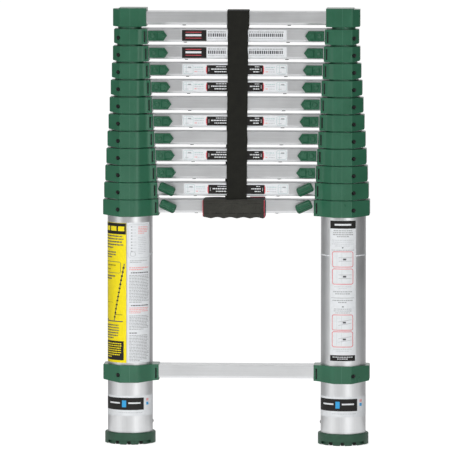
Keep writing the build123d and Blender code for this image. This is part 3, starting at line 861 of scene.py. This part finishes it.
def strap_path():
    """Centre line (x, y, z, share of height, normal angle), from the front tail over the rung to the back."""
    rise = rung_z(SECTIONS) + RUNG_HALF_HEIGHT + STRAP_CLEARANCE + STRAP_THICK / 2
    tail = rise - STRAP_BEND_R - STRAP_END_Z
    points = []
    for k in range(STRAP_STEPS):
        t = k / STRAP_STEPS
        x = FRONT_END_X + (FRONT_TOP_X - FRONT_END_X) * t
        points.append((x, -STRAP_OFFSET, STRAP_END_Z + tail * t, t, -90.0))
    for k in range(BEND_STEPS + 1):
        angle = 90.0 * k / BEND_STEPS
        y = -STRAP_OFFSET + STRAP_BEND_R * (1 - math.cos(math.radians(angle)))
        z = rise - STRAP_BEND_R + STRAP_BEND_R * math.sin(math.radians(angle))
        points.append((FRONT_TOP_X, y, z, 1.0, -90.0 + angle))
    for k in range(1, FOLD_STEPS):
        x = FRONT_TOP_X + (BACK_TOP_X - FRONT_TOP_X) * k / FOLD_STEPS
        y = -STRAP_OFFSET + STRAP_BEND_R + 2 * (STRAP_OFFSET - STRAP_BEND_R) * k / FOLD_STEPS
        points.append((x, y, rise, 1.0, 0.0))
    for k in range(BEND_STEPS + 1):
        angle = 90.0 * k / BEND_STEPS
        y = STRAP_OFFSET - STRAP_BEND_R * (1 - math.sin(math.radians(angle)))
        z = rise - STRAP_BEND_R + STRAP_BEND_R * math.cos(math.radians(angle))
        points.append((BACK_TOP_X, y, z, 1.0, angle))
    for k in range(1, STRAP_STEPS + 1):
        t = 1 - k / STRAP_STEPS
        x = BACK_END_X + (BACK_TOP_X - BACK_END_X) * t
        points.append((x, STRAP_OFFSET, STRAP_END_Z + tail * t, t, 90.0))
    return points


def strap():
    """Webbing folded over the top rung, with slightly uneven edges."""
    mesh = bmesh.new()
    uv_layer = mesh.loops.layers.uv.new("UVMap")
    near = [(u, -0.5) for u in (-0.975, -0.5, 0.0, 0.5, 0.975)]
    far = [(u, 0.5) for u in (0.975, 0.5, 0.0, -0.5, -0.975)]
    profile = [(-1.0, -0.25)] + near + [(1.0, -0.25), (1.0, 0.25)] + far + [(-1.0, 0.25)]
    rows, lengths = [], []
    travelled, previous = 0.0, None
    for x, y, z, high, angle in strap_path():
        here = Vector((x, y, z))
        travelled += (here - previous).length if previous else 0.0
        previous = here
        lengths.append(travelled)
        out = Vector((0, math.sin(math.radians(angle)), math.cos(math.radians(angle))))
        wander = noise.noise(Vector((travelled * 0.035, 3.1, 0.0))) * 0.9
        width = STRAP_HALF_WIDTH + noise.noise(Vector((travelled * 0.11, 9.4, 0.0))) * 0.5
        if high > STRAP_SPREAD_FROM:
            width += STRAP_SPREAD
        row = []
        for u, w in profile:
            ripple = noise.noise(Vector((travelled * 0.02, u * 1.3, 7.0))) * 0.12 + 0.1
            position = here + Vector((u * width + wander, 0, 0)) + out * (w * STRAP_THICK + ripple)
            row.append(mesh.verts.new(position * MM))
        rows.append(row)
    ring_faces(mesh, rows, False)
    mesh.faces.new(rows[0])
    mesh.faces.new(rows[-1])
    place = {}
    for row, length in zip(rows, lengths):
        for vertex, (u, w) in zip(row, profile):
            place[vertex] = ((u * STRAP_FLAT_WIDTH / 2 + (w > 0) * 45.0) * MM, length * MM)
    for face in mesh.faces:
        for loop in face.loops:
            loop[uv_layer].uv = place[loop.vert]
    piece = finish_mesh("carry_strap", mesh, body_name(SECTIONS), [WEBBING])
    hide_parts("strap")


GRIP_LEFT, GRIP_RIGHT = -60.5, 51.8
GRIP_COLUMNS = 88
GRIP_REST = rung_z(1)
GRIP_LOW = GRIP_REST - 22.2
GRIP_TOP = GRIP_REST + 13.1
GRIP_HALF_DEPTH = 29.9
GRIP_INNER_HALF = 25.7
GRIP_LOW_R, GRIP_TOP_R = 8.5, 2.6
GRIP_TUCK = 1.3             # the ends draw in by this much
GRIP_TUCK_LENGTH = 3.5
LOBE_PITCH = 24.0
LOBE_START = 1.5
LOBE_DEPTH = 2.2
PADDING = 1.35
CREASES = (GRIP_REST - 12.0, GRIP_REST + 6.3)
BINDING_R = 0.6


def grip_x(column):
    """X of one of the grip's columns of points."""
    return GRIP_LEFT + (GRIP_RIGHT - GRIP_LEFT) * column / GRIP_COLUMNS


def ripple(x, y, z):
    """Uneven padding, as a scale of the depth."""
    return 1 + noise.noise(Vector((x * 0.09, y * 0.12, z * 0.12))) * 0.45 / 32


def bulge(low, z, top):
    """Padding between the sewn creases."""
    edges = (low, *CREASES, top)
    for a, b in zip(edges, edges[1:]):
        if a <= z <= b:
            share = (z - a) / (b - a)
            return PADDING * (4 * share * (1 - share)) ** 0.6
    return 0.0


def grip_outline(x):
    """Outer and inner loops (y, z) of the grip at one place along the rung."""
    end = min(x - GRIP_LEFT, GRIP_RIGHT - x)
    tuck = GRIP_TUCK * max(0.0, 1 - end / GRIP_TUCK_LENGTH) ** 2
    lobes = math.cos(math.tau * (x - LOBE_START) / LOBE_PITCH)
    low = GRIP_LOW + LOBE_DEPTH * (0.5 - 0.5 * lobes) ** 0.7 + tuck
    top = GRIP_TOP - tuck + 0.4 * math.sin(x * 0.13)
    half = GRIP_HALF_DEPTH - tuck
    back = []
    for k in range(9):
        angle = math.radians(90 * k / 8)
        back.append((half - GRIP_LOW_R * (1 - math.sin(angle)), low + GRIP_LOW_R * (1 - math.cos(angle))))
    for k in range(1, 22):
        z = low + GRIP_LOW_R + (top - GRIP_TOP_R - low - GRIP_LOW_R) * k / 22
        back.append((half + bulge(low, z, top), z))
    for k in range(7):
        angle = math.radians(90 * k / 6)
        back.append((half - GRIP_TOP_R * (1 - math.cos(angle)), top - GRIP_TOP_R * (1 - math.sin(angle))))
    outline = [(-y, z) for y, z in back] + back[::-1]
    bed, roof = GRIP_REST - RUNG_HALF_HEIGHT - 0.1, GRIP_REST + RUNG_HALF_HEIGHT + 0.1
    near, far = -GRIP_INNER_HALF, GRIP_INNER_HALF
    inner = [(near, bed), (near, roof), (far, roof), (far, bed)]
    return outline, inner


def grip():
    """Padded grip round the first head rung: sewn creases, finger lobes below, red bound ends."""
    mesh = bmesh.new()
    outer_rows, inner_rows = [], []
    for column in range(GRIP_COLUMNS + 1):
        x = grip_x(column)
        outer, inner = grip_outline(x)
        row = []
        for y, z in outer:
            row.append(mesh.verts.new(Vector((x, y * ripple(x, y, z), z)) * MM))
        outer_rows.append(row)
        steps = len(row)
        loop = []
        for k in range(steps):
            position = k / steps * 4
            corner = int(position)
            start, end = Vector(inner[corner]), Vector(inner[(corner + 1) % 4])
            point = start.lerp(end, position - corner)
            loop.append(mesh.verts.new(Vector((x, point.x, point.y)) * MM))
        inner_rows.append(loop)
    ring_faces(mesh, outer_rows, False)
    ring_faces(mesh, inner_rows, False)
    for outer, inner in ((outer_rows[0], inner_rows[0]), (outer_rows[-1], inner_rows[-1])):
        for k in range(len(outer)):
            after = (k + 1) % len(outer)
            mesh.faces.new((outer[k], outer[after], inner[after], inner[k]))
    piece = finish_mesh("carry_grip", mesh, body_name(1), [GRIP_CLOTH], True)
    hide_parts("grip")
    binding = bmesh.new()
    for x, facing in ((GRIP_LEFT, -1), (GRIP_RIGHT, 1)):
        outer = grip_outline(x)[0]
        rows = []
        for y, z in outer:
            centre = Vector((x + facing * 0.1, y, z))
            away = Vector((0, y, z - GRIP_REST + 4.0)).normalized()
            row = []
            for k in range(8):
                angle = math.tau * k / 8
                spoke = Vector((math.cos(angle), 0, 0)) + away * math.sin(angle)
                row.append(binding.verts.new((centre + spoke * BINDING_R) * MM))
            rows.append(row)
        ring_faces(binding, rows, True)
    finish_mesh("grip_binding", binding, body_name(1), [PIPING], True)


SEAM_SECTION = ((-0.5, -0.5), (0.3, -0.5), (0.3, 0.5), (-0.5, 0.5))
LINING_START, LINING_END = 46.0, 54.6
LINING_NEAR, LINING_FAR = 22.3, 25.4
LINING_HALF_HEIGHT = 11.8
GRIP_EDGE = ((23.0, 24.0, GRIP_REST + 12.6), (51.0, 27.0, GRIP_REST + 14.4))


def grip_seams():
    """Seams in the grip's creases, dark lining at its right-hand end, and a red edge on its back's top."""
    mesh = bmesh.new()
    for side in (-1, 1):
        for crease in CREASES:
            rows = []
            for column in range(2, GRIP_COLUMNS - 1):
                x = grip_x(column)
                y = side * GRIP_HALF_DEPTH
                y *= ripple(x, y, crease)
                row = [Vector((x, y + side * out, crease + up)) * MM for out, up in SEAM_SECTION]
                rows.append([mesh.verts.new(point) for point in row])
            ring_faces(mesh, rows, False)
            for row in (rows[0], rows[-1]):
                mesh.faces.new(row)
        near, far = sorted((side * LINING_NEAR, side * LINING_FAR))
        low, high = GRIP_REST - LINING_HALF_HEIGHT, GRIP_REST + LINING_HALF_HEIGHT
        slab(mesh, (LINING_START, near, low), (LINING_END, far, high))
    finish_mesh("grip_seams", mesh, body_name(1), [INKS["black"]])
    binding = bmesh.new()
    slab(binding, *GRIP_EDGE)
    finish_mesh("grip_edge", binding, body_name(1), [PIPING])


# ---------------------------------------------------------------- studio

def emitter(name, strength, colour=(1, 1, 1)):
    material = bpy.data.materials.new(name)
    material.use_nodes = True
    tree = material.node_tree
    tree.nodes.clear()
    glow = tree.nodes.new("ShaderNodeEmission")
    glow.inputs["Color"].default_value = (*colour, 1)
    glow.inputs["Strength"].default_value = strength
    output = tree.nodes.new("ShaderNodeOutputMaterial")
    tree.links.new(glow.outputs["Emission"], output.inputs["Surface"])
    return material


def flag(name, angle, distance, width, height, level, strength):
    """Grey studio board that only reflections see. Angle 0 is at the camera, positive to its right."""
    turn = math.radians(angle + CAMERA_YAW)
    centre = Vector((distance * math.sin(turn), -distance * math.cos(turn), level))
    across = Vector((math.cos(turn), math.sin(turn), 0)) * width / 2
    up = Vector((0, 0, height / 2))
    corners = [centre - across - up, centre + across - up, centre + across + up, centre - across + up]
    reflector(name, corners, strength)


def reflector(name, corners, strength):
    """Glowing board that only reflections see."""
    data = bpy.data.meshes.new(name)
    data.from_pydata(corners, [], [(0, 1, 2, 3)])
    data.materials.append(emitter(name, strength))
    board = bpy.data.objects.new(name, data)
    bpy.context.scene.collection.objects.link(board)
    board.visible_camera = False
    board.visible_diffuse = False
    board.visible_shadow = False
    board.visible_transmission = False


def floor_flag(name, height, across, along, strength):
    """Board just above the floor, which sets the floor's tone in reflections."""
    level = height * MM
    corners = [(x, y, level) for x, y in
               ((across[0], along[0]), (across[1], along[0]), (across[1], along[1]), (across[0], along[1]))]
    reflector(name, corners, strength)


LIGHT_AIM = Vector((0, 0, 0.4))


def softbox(name, angle, distance, width, height, level, power, seen=True):
    """Rectangular area light aimed at the ladder's middle; reflections may be kept from seeing it."""
    turn = math.radians(angle + CAMERA_YAW)
    data = bpy.data.lights.new(name, "AREA")
    data.shape = "RECTANGLE"
    data.size = width
    data.size_y = height
    data.energy = power
    lamp = bpy.data.objects.new(name, data)
    bpy.context.scene.collection.objects.link(lamp)
    lamp.visible_glossy = seen
    lamp.location = (distance * math.sin(turn), -distance * math.cos(turn), level)
    aim = LIGHT_AIM - lamp.location
    lamp.rotation_euler = aim.to_track_quat("-Z", "Y").to_euler()


CAMERA_YAW = 3.0
CAMERA_ELEVATION = 5.2
CAMERA_DISTANCE = 12.0
VIEW_WIDTH = 0.826
AIM = Vector((-0.0215, 0.0, 0.4026))


FLOOR_HALF = 150.0
FLOOR_WHITE = 0.82
FLOOR_GLOW = 0.72
WORLD_GLOW = 0.40


def studio():
    """Glowing floor hidden from diffuse light, white world, area lights and boards for the reflections."""
    corners = [(-1, -1), (1, -1), (1, 1), (-1, 1)]
    floor = bpy.data.meshes.new("studio_floor")
    floor.from_pydata([(x * FLOOR_HALF, y * FLOOR_HALF, 0) for x, y in corners], [], [(0, 1, 2, 3)])
    material, _, shader = new_material("studio_floor", 0.9)
    shader.inputs["Base Color"].default_value = (*grey(FLOOR_WHITE), 1)
    shader.inputs["Specular IOR Level"].default_value = 0.0
    shader.inputs["Emission Color"].default_value = (1, 1, 1, 1)
    shader.inputs["Emission Strength"].default_value = FLOOR_GLOW
    floor.materials.append(material)
    ground = bpy.data.objects.new("studio_floor", floor)
    bpy.context.scene.collection.objects.link(ground)
    ground.visible_diffuse = False
    world = bpy.data.worlds.new("studio")
    bpy.context.scene.world = world
    world.use_nodes = True
    background = world.node_tree.nodes["Background"]
    background.inputs["Color"].default_value = (1, 1, 1, 1)
    background.inputs["Strength"].default_value = WORLD_GLOW
    softbox("key", 27, 3.0, 1.4, 1.8, 0.8, 12.5)
    softbox("fill", -60, 3.2, 1.3, 2.0, 0.9, 8)
    softbox("wash", -12, 1.3, 0.9, 0.6, 0.25, 9, seen=False)
    softbox("top", -30, 1.4, 2.0, 1.4, 3.0, 13)
    flag("flag_right", 100, 2.2, 2.8, 5.0, 0.6, 0.13)
    flag("flag_left", -115, 2.4, 2.8, 5.0, 0.6, 0.22)
    flag("flag_front", -16, 5.0, 5.0, 4.0, 0.2, 0.25)
    flag("board_back", 180, 5.0, 5.0, 6.0, 2.0, 1.0)
    floor_flag("floor_far", 0.1, (-20.0, 20.0), (-20.0, 20.0), 0.38)
    floor_flag("floor_near", 0.2, (-1.1, 1.1), (-2.0, 0.1), 0.97)
    bpy.context.scene.view_settings.view_transform = "Standard"


def camera():
    data = bpy.data.cameras.new("camera")
    data.sensor_width = 36.0
    data.lens = data.sensor_width * CAMERA_DISTANCE / VIEW_WIDTH
    data.clip_end = 500.0
    view = bpy.data.objects.new("camera", data)
    bpy.context.scene.collection.objects.link(view)
    yaw, rise = math.radians(CAMERA_YAW), math.radians(CAMERA_ELEVATION)
    away = Vector((math.sin(yaw) * math.cos(rise), -math.cos(yaw) * math.cos(rise), math.sin(rise)))
    view.location = AIM + away * CAMERA_DISTANCE
    view.rotation_euler = (-away).to_track_quat("-Z", "Y").to_euler()
    bpy.context.scene.camera = view


# ---------------------------------------------------------------- assembly

dress_cad_nodes()
yellow_label()
white_label()
right_label()
for number in (10, 11):
    caution_rung_label(number, 60 + number)
for number in (2, 4, 6, 8, 9):
    plain_rung_label(number, 60 + number, SECOND_LABEL_SHIFT if number == 2 else LABEL_SHIFT)
foot_band(-1, FOOT_BAND_TURN, "foot_band_left")
foot_band(1, FOOT_BAND_TURN, "foot_band_right")
for number in range(1, SECTIONS):
    collar_shade_pieces(number)
stile_beads()
stile_rivets()
tread_shade()
strap()
grip()
grip_seams()
studio()
camera()
